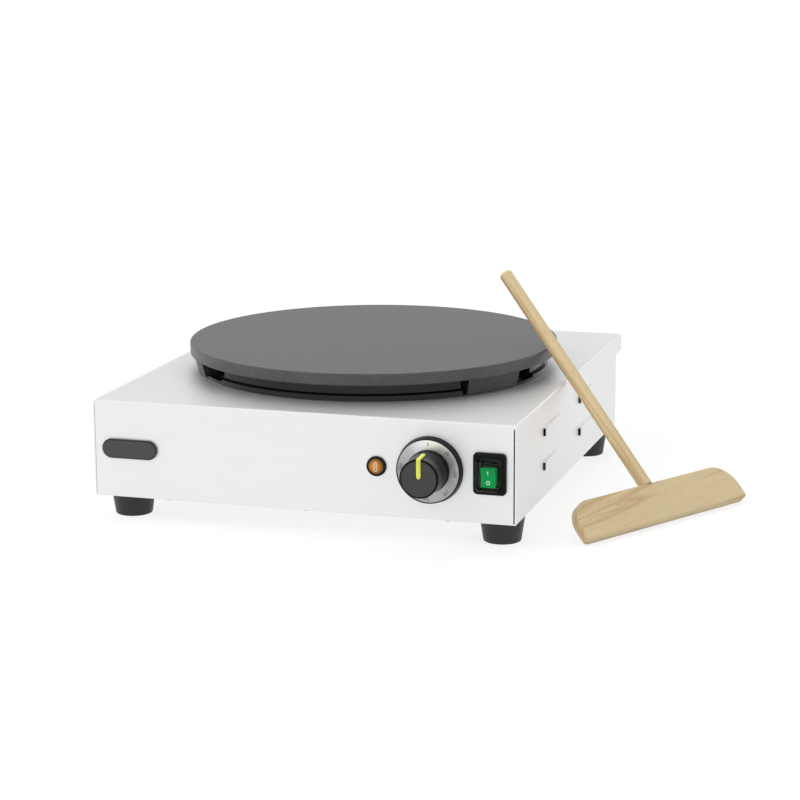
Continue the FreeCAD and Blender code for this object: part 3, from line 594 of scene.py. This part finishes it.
class Tree(Nodes):
    """A geometry node tree with named inputs."""

    def __init__(self, name, inputs):
        super().__init__(bpy.data.node_groups.new(name, "GeometryNodeTree"))
        interface = self.tree.interface
        self.keys = {}
        for label, kind in inputs:
            item = interface.new_socket(name=label, in_out="INPUT", socket_type="NodeSocket" + kind)
            self.keys[label] = item.identifier
        interface.new_socket(name="Geometry", in_out="OUTPUT", socket_type="NodeSocketGeometry")
        self.inputs = self.node("NodeGroupInput").outputs
        self.output = self.node("NodeGroupOutput").inputs["Geometry"]

    def vector(self, x, y, z):
        return self.node("ShaderNodeCombineXYZ", X=x, Y=y, Z=z).outputs["Vector"]

    def finish(self, geometry):
        realized = self.node("GeometryNodeRealizeInstances", Geometry=geometry).outputs["Geometry"]
        material = self.inputs["Material"]
        painted = self.node("GeometryNodeSetMaterial", Geometry=realized, Material=material)
        self.set(self.output, painted.outputs["Geometry"])

    def grow(self, **values):
        """Runs the tree with these inputs and gives the plain mesh."""
        source = linked(self.tree.name, bpy.data.meshes.new(self.tree.name))
        modifier = source.modifiers.new("tree", "NODES")
        modifier.node_group = self.tree
        for label, value in values.items():
            modifier[self.keys[label.replace("_", " ")]] = value
        return plain_mesh(source)


def scale_tick_tree():
    """Ticks at equal steps round a dial that faces -Y."""
    sizes = [(label, "Float") for label in ("Radius", "Step", "Length", "Width", "Depth")]
    tree = Tree("scale_ticks", [("Count", "Int"), *sizes, ("Centre", "Vector"), ("Material", "Material")])
    points = tree.node("GeometryNodePoints", Count=tree.inputs["Count"]).outputs["Points"]
    index = tree.node("GeometryNodeInputIndex").outputs["Index"]
    turn = tree.maths("MULTIPLY", index, tree.inputs["Step"])
    x = tree.maths("MULTIPLY", tree.maths("SINE", turn), tree.inputs["Radius"])
    z = tree.maths("MULTIPLY", tree.maths("COSINE", turn), tree.inputs["Radius"])
    spread = tree.node("GeometryNodeSetPosition", Geometry=points, Position=tree.vector(x, 0.0, z))
    size = tree.vector(tree.inputs["Width"], tree.inputs["Depth"], tree.inputs["Length"])
    bar = tree.node("GeometryNodeMeshCube", Size=size).outputs["Mesh"]
    turned = tree.node("FunctionNodeEulerToRotation", Euler=tree.vector(0.0, turn, 0.0))
    marks = tree.node("GeometryNodeInstanceOnPoints", Points=spread.outputs["Geometry"], Instance=bar,
                      Rotation=turned.outputs["Rotation"]).outputs["Instances"]
    placed = tree.node("GeometryNodeTransform", Geometry=marks, Translation=tree.inputs["Centre"])
    tree.finish(placed.outputs["Geometry"])
    return tree


def thread_tree():
    """Stud along +Y: a core with one helical thread."""
    steps_a_turn, crest_corners, core_corners = 24, 5, 40
    sizes = [(label, "Float") for label in ("Radius", "Depth", "Pitch", "Length")]
    tree = Tree("stud_thread", [*sizes, ("Start", "Vector"), ("Material", "Material")])
    depth, length_in = tree.inputs["Depth"], tree.inputs["Length"]
    turns = tree.maths("DIVIDE", length_in, tree.inputs["Pitch"])
    root = tree.maths("SUBTRACT", tree.inputs["Radius"], depth)
    spiral = tree.node("GeometryNodeCurveSpiral", Resolution=steps_a_turn, Rotations=turns,
                       Start_Radius=root, End_Radius=root, Height=length_in)
    crest = tree.node("GeometryNodeCurvePrimitiveCircle", Resolution=crest_corners, Radius=depth)
    swept = tree.node("GeometryNodeCurveToMesh", Curve=spiral.outputs["Curve"],
                      Profile_Curve=crest.outputs["Curve"], Fill_Caps=True)
    core = tree.node("GeometryNodeMeshCylinder", Vertices=core_corners, Radius=root, Depth=length_in)
    half = tree.vector(0.0, 0.0, tree.maths("MULTIPLY", length_in, 0.5))
    raised = tree.node("GeometryNodeTransform", Geometry=core.outputs["Mesh"], Translation=half)
    joined = tree.node("GeometryNodeJoinGeometry")
    for part in (swept.outputs["Mesh"], raised.outputs["Geometry"]):
        tree.set(joined.inputs["Geometry"], part)
    laid = tree.node("GeometryNodeTransform", Geometry=joined.outputs["Geometry"],
                     Translation=tree.inputs["Start"],
                     Rotation=tree.vector(math.radians(-90.0), 0.0, 0.0))
    tree.finish(laid.outputs["Geometry"])
    return tree


# Operators

class MakerOperator:
    """What every step shares: it runs make with the scene's settings."""
    bl_options = {"REGISTER", "UNDO"}

    def execute(self, context):
        self.make(context.scene.crepe_maker)
        return {"FINISHED"}


class DressHousing(MakerOperator, bpy.types.Operator):
    """Gives the folded housing, badge, feet and sheet-metal screws their finishes"""
    bl_idname = "crepe_maker.dress_housing"
    bl_label = "Housing"

    def make(self, settings):
        steel = brushed_steel(settings.housing)
        dress(steel, "housing_cover", "base_plate", "rear_panel")
        dress(plated("zinc_screw", (0.62, 0.62, 0.62), 0.30),
              "base_screws", "rear_screws", "foot_screws", "foot_nuts")
        dress(moulded("foot_rubber", settings.housing.rubber, 0.46, grain=420.0, depth=0.06 * MM),
              "foot_front_left", "foot_front_right", "foot_rear_left", "foot_rear_right")
        dress(badge_plate(settings.housing), "nameplate")


class DressPlate(MakerOperator, bpy.types.Operator):
    """Finishes the cast cooking plate and the enamelled pan under it"""
    bl_idname = "crepe_maker.dress_plate"
    bl_label = "Plate and Pan"

    def make(self, settings):
        dress(cast_iron(settings.plate), "griddle_plate")
        dress(black_enamel(settings.plate), "element_pan")


class DressInside(MakerOperator, bpy.types.Operator):
    """Finishes heaters, thermostat, wiring and fixings inside the housing"""
    bl_idname = "crepe_maker.dress_inside"
    bl_label = "Inside"

    def make(self, settings):
        dress(plated("fixing_zinc", (0.60, 0.60, 0.61), 0.34), "plate_studs", "stud_nuts",
              "element_clamp", "bulb_clip", "heat_baffle", "bonding_nuts", "bonding_stud",
              "thermostat_screws", "thermostat_shaft", "switch_terminals")
        dress(plated("heater_sheath", (0.16, 0.15, 0.14), 0.48), "outer_heater", "inner_heater")
        dress(plated("bulb_copper", (0.78, 0.42, 0.28), 0.30), "sensing_bulb", "capillary_tube")
        # Painted shade: the wool is coloured near black instead of its own pale tone, so what is seen of it
        # inside the housing reads as shade.
        dress(moulded("mineral_wool", (0.07, 0.068, 0.064), 0.95, grain=260.0, depth=0.8 * MM),
              "insulation_disc")
        dress(moulded("steatite", (0.80, 0.77, 0.70), 0.40), "safety_cutout", "terminal_block")
        dress(moulded("phenolic_case", (0.035, 0.028, 0.024), 0.42),
              "thermostat_body", "lamp_body", "lamp_nut", "switch_body")
        dress(moulded("wire_sleeve", (0.045, 0.004, 0.003), 0.60), "wires")


class DressRear(MakerOperator, bpy.types.Operator):
    """Finishes the cable gland and cuts the thread of the bonding stud"""
    bl_idname = "crepe_maker.dress_rear"
    bl_label = "Rear Inlet"

    def make(self, settings):
        nylon = moulded("gland_nylon", settings.controls.plastic, 0.38)
        dress(nylon, "cable_gland", "gland_cap", "gland_nut")
        depth, pitch, end_gap = 0.45 * MM, 1.0 * MM, 0.4 * MM
        low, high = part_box("bonding_stud")
        zinc = bpy.data.materials["fixing_zinc"]
        start = Vector(((low.x + high.x) / 2, low.y + end_gap, (low.z + high.z) / 2))
        mesh = thread_tree().grow(Radius=(high.x - low.x) / 2, Depth=depth, Pitch=pitch,
                                  Length=high.y - low.y - 2 * end_gap, Start=start, Material=zinc)
        piece("bonding_stud_thread", mesh, zinc, "machine", ("bonding_stud",), smooth=50)


class MakeDial(MakerOperator, bpy.types.Operator):
    """Finishes the dial tray and its scale ring, and prints the zero tick and the numbers on it"""
    bl_idname = "crepe_maker.make_dial"
    bl_label = "Dial"

    def make(self, settings):
        controls = settings.controls
        plastic = moulded("tray_plastic", controls.plastic, 0.36, Specular_IOR_Level=0.06)
        dress(plastic, "dial_bezel", "lamp_bezel", "switch_frame")
        dress(satin_ring(controls), "dial_face")
        ink = moulded("print_ink", (0.02, 0.02, 0.02), 0.6)
        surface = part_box("dial_face")[0].y
        depth = 0.04 * MM
        numeral_step = 50
        ticks = scale_tick_tree().grow(
            Count=1, Radius=controls.numeral_radius, Step=controls.mark_step,
            Length=controls.tick_length, Width=controls.tick_width, Depth=2 * depth,
            Centre=Vector((DIAL_CENTRE.x, surface, DIAL_CENTRE.z)), Material=ink)
        piece("dial_ticks", ticks, ink, "machine")
        numerals = []
        for step in range(1, controls.mark_count):
            mesh = lettering(str(numeral_step * step), controls.numeral_height, depth)
            mesh.transform(on_dial(step * controls.mark_step, controls.numeral_radius, surface))
            numerals.append(mesh)
        piece("dial_numerals", merged(numerals), ink, "machine")


class MakeKnob(MakerOperator, bpy.types.Operator):
    """Makes the slightly conical knob with its sunk face, and the pointer that runs over its edge"""
    bl_idname = "crepe_maker.make_knob"
    bl_label = "Knob"

    def make(self, settings):
        taper, setback, lip_height = 1.4 * MM, 0.5 * MM, 1.0 * MM
        edge_width, edge_height = 0.25 * MM, 0.3 * MM
        rim_radius, rim_width, wall_width = 1.2 * MM, 1.9 * MM, 0.3 * MM
        wall_depth, face_depth, face_share = 0.35 * MM, 0.42 * MM, 0.45
        bore_radius, bore_depth = 3.1 * MM, 8 * MM
        base = (KNOB_HIGH.x - KNOB_LOW.x) / 2
        reach = KNOB_HIGH.y - KNOB_LOW.y
        face = base - taper
        slope = taper / reach
        back = Vector((DIAL_CENTRE.x, KNOB_HIGH.y, DIAL_CENTRE.z))
        bore = [(0.0, bore_depth), (bore_radius, bore_depth), (bore_radius, 0.0)]
        skirt = [(base - edge_width, 0.0), (base, edge_height), (base, lip_height),
                 (base - setback, lip_height + setback)]
        heights = (3 * MM, 12 * MM, reach - 2 * MM)
        cone = [(base - slope * height - setback, height) for height in heights]
        rim = arc((face - rim_radius, reach - rim_radius), rim_radius, 8, 90, 8)
        dish = [(face - rim_width, reach), (face - rim_width - wall_width, reach - wall_depth),
                (face * face_share, reach - face_depth), (0.0, reach - face_depth)]
        mesh = turned_mesh(bore + skirt + cone + rim + dish, back)
        piece("knob_cone", mesh, knob_plastic(settings.controls), "knob",
              ("control_knob",), smooth=28)
        self.make_pointer(settings.controls, face, slope)

    def make_pointer(self, controls, face, slope):
        """Raised line from the knob's axis over the upper edge and back along the cone."""
        low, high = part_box("knob_pointer")
        half = (high.x - low.x) / 2
        proud = KNOB_LOW.y - low.y
        sunk, shoulder, crown, blunt = 0.7 * MM, 0.6 * proud, 0.86, 0.18 * half
        centre = Vector((DIAL_CENTRE.x, KNOB_LOW.y, DIAL_CENTRE.z))
        path = self.pointer_path(face, slope)
        lengths = [0.0]
        for a, b in zip(path, path[1:]):
            lengths.append(lengths[-1] + math.hypot(b[0] - a[0], b[1] - a[1]))
        rows = []
        for (z, y, nz, ny), run in zip(path, lengths):
            end = min(run, lengths[-1] - run)
            wide = half if end > half else max(math.sqrt(half * half - (half - end) ** 2), blunt)
            section = ((-wide, -sunk), (-wide, shoulder), (-wide * crown, proud),
                       (wide * crown, proud), (wide, shoulder), (wide, -sunk))
            rows.append([centre + Vector((x, y + ny * rise, z + nz * rise)) for x, rise in section])
        lacquer = moulded("pointer_lacquer", controls.pointer, 0.38)
        piece("pointer_line", lofted(rows), lacquer, "knob", ("knob_pointer",), smooth=40)

    def pointer_path(self, face, slope):
        """Height and depth of each point of the line, with the height and depth of its normal."""
        bend, along_cone = 1.4 * MM, 15.6 * MM
        face_steps, bend_steps, cone_steps = 12, 7, 10
        corner = face - bend
        path = [(corner * step / face_steps, 0.0, 0.0, -1.0) for step in range(face_steps + 1)]
        turn = math.pi / 2 - math.atan(slope)
        for step in range(1, bend_steps + 1):
            a = turn * step / bend_steps
            nz, ny = math.sin(a), -math.cos(a)
            path.append((corner + bend * nz, bend * (1 + ny), nz, ny))
        z, y, nz, ny = path[-1]
        run = along_cone / math.hypot(slope, 1.0) / cone_steps
        return path + [(z + slope * run * step, y + run * step, nz, ny)
                       for step in range(1, cone_steps + 1)]


class MakeLamp(MakerOperator, bpy.types.Operator):
    """Finishes the lamp and prints a thermometer sign on its lens"""
    bl_idname = "crepe_maker.make_lamp"
    bl_label = "Lamp"

    def make(self, settings):
        dress(amber_lens(settings.controls), "lamp_lens")
        stem, bulb, line = 1.2 * MM, 1.9 * MM, 0.48 * MM
        top, bottom = 3.1 * MM, -2.4 * MM
        thickness, sunk, dome_rise = 0.05 * MM, 0.03 * MM, 2.2 * MM
        outer = self.sign_outline(stem, bulb, top, bottom)
        inner = self.sign_outline(stem - line, bulb - line, top, bottom)
        mesh = extruded([outer, inner], thickness)
        centre = middle_of("lamp_lens")
        lens_radius = (LENS_HIGH.x - LENS_LOW.x) / 2
        dome = (lens_radius ** 2 + dome_rise ** 2) / (2 * dome_rise)
        for vertex in mesh.vertices:
            x, z, proud = vertex.co
            drop = dome - math.sqrt(dome * dome - x * x - z * z)
            vertex.co = (centre.x + x, LENS_LOW.y + drop - sunk - proud, centre.z + z)
        white = moulded("white_print", (0.86, 0.84, 0.80), 0.5)
        piece("lamp_sign", welded(mesh), white, "machine")

    def sign_outline(self, stem, bulb, top, bottom):
        """Outline of a thermometer: a round-topped stem on a bulb."""
        stem_steps, bulb_steps, cap_steps = 8, 28, 14
        start = math.degrees(math.asin(stem / bulb))
        foot = bottom + bulb * math.cos(math.radians(start))
        rungs = [foot + (top - foot) * step / stem_steps for step in range(1, stem_steps)]
        bulb_side = arc((0, bottom), bulb, 90 + start, 450 - start, bulb_steps)
        cap = arc((0, top), stem, 0, 180, cap_steps)
        return bulb_side + [(stem, y) for y in rungs] + cap + [(-stem, y) for y in reversed(rungs)]


class MakeSwitch(MakerOperator, bpy.types.Operator):
    """Makes the rocker with its marks and finishes the clear hood"""
    bl_idname = "crepe_maker.make_switch"
    bl_label = "Switch"
    rest_tilt = 8.0
    half = 8.8 * MM
    crown, valley, base = -7.2 * MM, -5.4 * MM, 0.4 * MM

    def make(self, settings):
        dress(clear_hood(), "switch_hood")
        pivot = Vector(next(joint for joint in frame["joints"] if joint["child"] == "rocker")["pos_m"])
        rest = Matrix.Translation(pivot) @ Matrix.Rotation(math.radians(self.rest_tilt), 4, "X")
        self.make_rocker(settings.controls, rest)
        self.make_marks(rest)

    def make_rocker(self, controls, rest):
        """Rocker with two flat faces that meet in a shallow valley."""
        inset = 1.5 * MM
        low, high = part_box("switch_rocker")
        half_width = (high.x - low.x) / 2
        side = [(self.crown, -self.half), (self.valley, 0.0), (self.crown, self.half),
                (self.base, self.half - inset), (self.base, -self.half + inset)]
        rows = [[(x, y, z) for y, z in side] for x in (-half_width, half_width)]
        source = linked("rocker", lofted(rows))
        bevel = source.modifiers.new("edges", "BEVEL")
        bevel.width = 0.5 * MM
        bevel.segments = 3
        bevel.limit_method = "ANGLE"
        bevel.angle_limit = math.radians(40)
        mesh = plain_mesh(source)
        mesh.transform(rest)
        green = moulded("rocker_green", controls.green, 0.40, grain=260.0, Specular_IOR_Level=0.1)
        piece("rocker_cap", mesh, green, "rocker", ("switch_rocker",), smooth=25)

    def make_marks(self, rest):
        """I on the upper face and O on the lower one."""
        bar_width, bar_height, thickness, sunk = 0.72 * MM, 3.2 * MM, 0.05 * MM, 0.02 * MM
        outer, inner, ring_steps = 1.75 * MM, 1.15 * MM, 32
        height = self.half * 0.52
        depth = self.valley + (self.crown - self.valley) * height / self.half
        slant = math.atan2(self.valley - self.crown, self.half)
        bar = [(x * bar_width / 2, y * bar_height / 2) for x, y in ((-1, -1), (1, -1), (1, 1), (-1, 1))]
        rings = [arc((0, 0), r, 0, 360 - 360 / ring_steps, ring_steps - 1) for r in (outer, inner)]
        marks = []
        for outlines, side in (([bar], 1), (rings, -1)):
            mark = extruded(outlines, thickness)
            place = Matrix.Translation((0, depth - sunk, side * height))
            mark.transform(rest @ place @ Matrix.Rotation(side * slant, 4, "X") @ FACING_FRONT)
            marks.append(mark)
        piece("rocker_marks", merged(marks), bpy.data.materials["white_print"], "rocker")


class DressSpreader(MakerOperator, bpy.types.Operator):
    """Gives the spreader's blade and handle wood whose grain runs along them"""
    bl_idname = "crepe_maker.dress_spreader"
    bl_label = "Spreader"

    def make(self, settings):
        for node, name, across in (("spreader_blade", "blade_wood", 30.0),
                                   ("spreader_handle", "handle_wood", 95.0)):
            along = self.long_axis(frame["nodes"][node].data)
            dress(wood(name, settings.spreader, middle_of(node), along, across), node)

    def long_axis(self, mesh):
        """Direction between the two vertices of the mesh that lie furthest apart."""
        points = [v.co.copy() for v in mesh.vertices]
        first = max(points, key=lambda p: (p - points[0]).length)
        second = max(points, key=lambda p: (p - first).length)
        return (second - first).normalized()


class SetStage(MakerOperator, bpy.types.Operator):
    """Puts up the camera, the floor, the surroundings and the lamps"""
    bl_idname = "crepe_maker.set_stage"
    bl_label = "Stage"

    def make(self, settings):
        stage = settings.stage
        self.make_camera(stage)
        self.make_floor(stage)
        self.make_world(stage)
        self.make_lamp("key_lamp", stage.key, (-1.7, -1.5, 1.9), 1.6)
        self.make_lamp("fill_lamp", stage.fill, (2.1, -1.1, 1.3), 1.5)
        self.make_lamp("top_lamp", stage.top, (-0.3, 0.7, 2.3), 2.0)
        self.make_lamp("rear_lamp", stage.rear, (0.9, 2.1, 1.3), 0.9, mirrored=True)
        self.make_flag(stage)

    def make_camera(self, stage):
        camera = bpy.data.cameras.new("camera")
        camera.lens = stage.lens
        camera.sensor_width = 36.0
        camera.clip_end = 100.0
        holder = linked("camera", camera)
        az, el, roll = stage.azimuth, stage.elevation, stage.roll
        back = Vector((math.sin(az) * math.cos(el), -math.cos(az) * math.cos(el), math.sin(el)))
        right = Vector((math.cos(az), math.sin(az), 0.0))
        up = back.cross(right)
        turned_right = right * math.cos(roll) + up * math.sin(roll)
        turned_up = up * math.cos(roll) - right * math.sin(roll)
        holder.matrix_world = Matrix.Translation(stage.place) @ Matrix(
            (turned_right, turned_up, back)).transposed().to_4x4()
        bpy.context.scene.camera = holder

    def seen(self, nodes):
        """1 for camera, glossy and transmission rays."""
        path = nodes.node("ShaderNodeLightPath").outputs
        total = path["Is Camera Ray"]
        for label in ("Is Glossy Ray", "Is Transmission Ray"):
            total = nodes.maths("MAXIMUM", total, path[label])
        return total

    def make_world(self, stage):
        """White where it is seen, dimmer as light on matt surfaces."""
        world = bpy.data.worlds.new("studio")
        bpy.context.scene.world = world
        world.use_nodes = True
        nodes = Nodes(world.node_tree)
        background = nodes.tree.nodes["Background"].inputs
        level = nodes.node("ShaderNodeMapRange", Value=self.seen(nodes), To_Min=stage.ambient, To_Max=1.0)
        nodes.set(background["Color"], (1, 1, 1, 1))
        nodes.set(background["Strength"], level.outputs["Result"])

    def make_floor(self, stage):
        """Pale paper; what is seen of it turns to plain white away from the object's shadow."""
        half = stage.floor_size / 2
        paper, seen_paper = (0.86, 0.86, 0.86), 0.24
        fade, softness, dimming = 0.4, 0.3, 0.22
        finish = Finish("floor_paper", paper, Roughness=0.9, Specular_IOR_Level=0.1,
                        Emission_Color=(1, 1, 1, 1))
        seen = self.seen(finish)
        x, y, _ = finish.apart(finish.coordinates)
        away = finish.maths("MULTIPLY", finish.reach(x, y), fade)
        near = finish.maths("SUBTRACT", 1.0, finish.maths("SMOOTH_MIN", away, 1.0, softness))
        near = finish.maths("MAXIMUM", near, 0.0)
        glow = finish.maths("MULTIPLY_ADD", near, -dimming, 1.0)
        finish.feed("Emission Strength", finish.maths("MULTIPLY", seen, glow))
        shade = finish.ramp(near, [(0.0, 0.0), (1.0, seen_paper)])
        finish.feed("Base Color", finish.blend(seen, paper, shade))
        corners = [(-half, -half, 0), (half, -half, 0), (half, half, 0), (-half, half, 0)]
        floor = self.make_sheet("floor", corners, finish.material)

    def make_flag(self, stage):
        """Grey screen behind the object that only polished surfaces mirror."""
        half, bottom, top, back = 4.0, 0.45, 3.4, 2.7
        finish = Finish("flag_cloth", (0.0, 0.0, 0.0), Roughness=1.0, Specular_IOR_Level=0.0,
                        Emission_Color=(1, 1, 1, 1), Emission_Strength=stage.flag)
        corners = [(-half, back, bottom), (half, back, bottom), (half, back, top), (-half, back, top)]
        flag = self.make_sheet("flag", corners, finish.material)
        for rays in ("camera", "diffuse", "transmission", "shadow"):
            setattr(flag, "visible_" + rays, False)

    def make_sheet(self, name, corners, material):
        mesh = bpy.data.meshes.new(name)
        mesh.from_pydata(corners, [], [(0, 1, 2, 3)])
        mesh.materials.append(material)
        return linked(name, mesh)

    def make_lamp(self, name, power, place, size, mirrored=False):
        """Square lamp aimed at the object; polished surfaces show only a mirrored one."""
        lamp = bpy.data.lights.new(name, "AREA")
        lamp.energy = power
        lamp.size = size
        lamp.shape = "SQUARE"
        holder = linked(name, lamp)
        holder.location = place
        holder.visible_glossy = mirrored
        holder.visible_diffuse = not mirrored
        aim = Vector((0.0, 0.0, 0.08)) - Vector(place)
        holder.rotation_mode = "QUATERNION"
        holder.rotation_quaternion = aim.to_track_quat("-Z", "Y")


class CREPE_MAKER_PT_panel(bpy.types.Panel):
    """Settings and steps of the crepe maker"""
    bl_idname = "CREPE_MAKER_PT_panel"
    bl_label = "Crepe Maker"
    bl_space_type = "VIEW_3D"
    bl_region_type = "UI"
    bl_category = "Crepe Maker"

    def draw(self, context):
        settings = context.scene.crepe_maker
        for section in CrepeMakerSettings.__annotations__:
            group = getattr(settings, section)
            box = self.layout.box()
            for name in group.__annotations__:
                box.prop(group, name)
        for operator in OPERATORS:
            self.layout.operator(operator.bl_idname)


OPERATORS = (DressHousing, DressPlate, DressInside, DressRear, MakeDial, MakeKnob, MakeLamp, MakeSwitch,
             DressSpreader, SetStage)
GROUPS = (HousingSettings, PlateSettings, ControlSettings, SpreaderSettings, StageSettings,
          CrepeMakerSettings)


def register():
    for cls in (*GROUPS, *OPERATORS, CREPE_MAKER_PT_panel):
        bpy.utils.register_class(cls)
    bpy.types.Scene.crepe_maker = PointerProperty(type=CrepeMakerSettings, name="Crepe Maker",
                                                  description="Settings of the crepe maker")


def unregister():
    del bpy.types.Scene.crepe_maker
    for cls in reversed((*GROUPS, *OPERATORS, CREPE_MAKER_PT_panel)):
        bpy.utils.unregister_class(cls)


def main():
    register()
    bpy.context.scene.view_settings.view_transform = "Standard"
    for operator in OPERATORS:
        family, step = operator.bl_idname.split(".")
        getattr(getattr(bpy.ops, family), step)()


if __name__ == "__main__":
    main()
